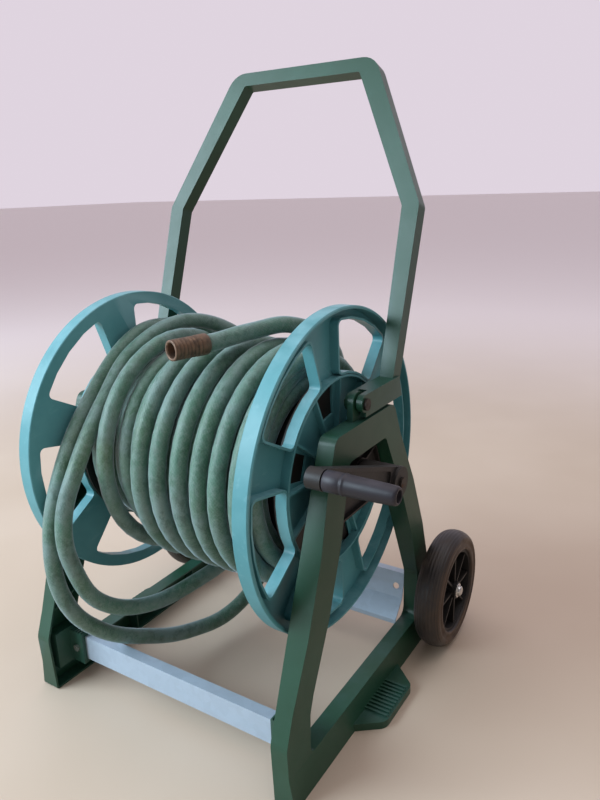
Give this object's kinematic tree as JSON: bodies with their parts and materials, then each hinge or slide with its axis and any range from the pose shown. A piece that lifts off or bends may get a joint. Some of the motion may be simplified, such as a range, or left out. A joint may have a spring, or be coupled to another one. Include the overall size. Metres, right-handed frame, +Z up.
{
  "type": "garden hose reel cart",
  "caption": "Wheeled garden hose reel cart: moulded A-frames carry a cranked reel of green hose, with a folding U handle and galvanised crossbars.",
  "frame": {"origin": "centre of the overall box at floor level, measured without the hose nodes", "axes": "+X towards the crank side along the reel axis, +Y to the rear where the wheels are, +Z up"},
  "size_m": [0.613, 0.5106, 0.8575],
  "materials": {
    "green_plastic": "moulded, light sheen",
    "aqua_plastic": "moulded, weathered",
    "black_plastic": "moulded",
    "grip_plastic": "satin, polished by use",
    "bush_plastic": "smooth",
    "galvanised_steel": "zinc coated, pale",
    "screw_steel": "zinc plated",
    "axle_steel": "dulled",
    "tyre_rubber": "moulded rubber",
    "seal_rubber": "smooth",
    "brass": "turned",
    "bronze": "weathered",
    "hose_rubber": "braid pattern, worn"
  },
  "bodies": {
    "root": {"side_frame_left": "green_plastic", "side_frame_right": "green_plastic", "front_crossbar": "galvanised_steel", "rear_crossbar": "galvanised_steel", "crossbar_screws": "screw_steel", "bearing_plate_left": "black_plastic", "bearing_plate_right": "black_plastic", "bearing_plate_screws": "screw_steel", "bearing_bush_left": "bush_plastic", "bearing_bush_right": "bush_plastic", "wheel_axle": "axle_steel", "axle_washers": "screw_steel", "axle_caps": "screw_steel", "handle_pivot_bolts": "axle_steel", "handle_pivot_nuts": "axle_steel", "hose_slack": "hose_rubber", "hose_coupling": "bronze"},
    "reel": {"reel_drum": "black_plastic", "reel_flange_left": "aqua_plastic", "reel_flange_right": "aqua_plastic", "flange_screws": "screw_steel", "journal_left": "black_plastic", "journal_right": "black_plastic", "inlet_tube": "brass", "outlet_elbow": "brass", "inlet_washer": "seal_rubber", "crank_arm": "black_plastic", "crank_screw": "axle_steel", "grip_pin": "axle_steel", "hose_coil": "hose_rubber"},
    "grip": {"crank_grip": "grip_plastic"},
    "inlet": {"inlet_swivel": "black_plastic"},
    "handle": {"handle": "green_plastic"},
    "wheel_left": {"wheel_hub_left": "black_plastic", "tyre_left": "tyre_rubber"},
    "wheel_right": {"wheel_hub_right": "black_plastic", "tyre_right": "tyre_rubber"}
  },
  "joints": [
    {"name": "reel_spin", "type": "hinge", "parent": "root", "child": "reel", "pos_m": [-0.0315, -0.0427, 0.345], "axis": [1, 0, 0], "continuous": true},
    {"name": "grip_spin", "type": "hinge", "parent": "reel", "child": "grip", "pos_m": [0.2685, -0.2235, 0.41805], "axis": [1, 0, 0], "continuous": true},
    {"name": "inlet_spin", "type": "hinge", "parent": "reel", "child": "inlet", "pos_m": [-0.2815, -0.0427, 0.345], "axis": [1, 0, 0], "continuous": true},
    {"name": "wheel_left_spin", "type": "hinge", "parent": "root", "child": "wheel_left", "pos_m": [-0.2815, 0.154, 0.09], "axis": [1, 0, 0], "continuous": true},
    {"name": "wheel_right_spin", "type": "hinge", "parent": "root", "child": "wheel_right", "pos_m": [0.2185, 0.154, 0.09], "axis": [1, 0, 0], "continuous": true},
    {"name": "handle_fold", "type": "hinge", "parent": "root", "child": "handle", "pos_m": [-0.0315, -0.044, 0.438], "axis": [1, 0, 0], "range_deg": [0, 172]}
  ]
}
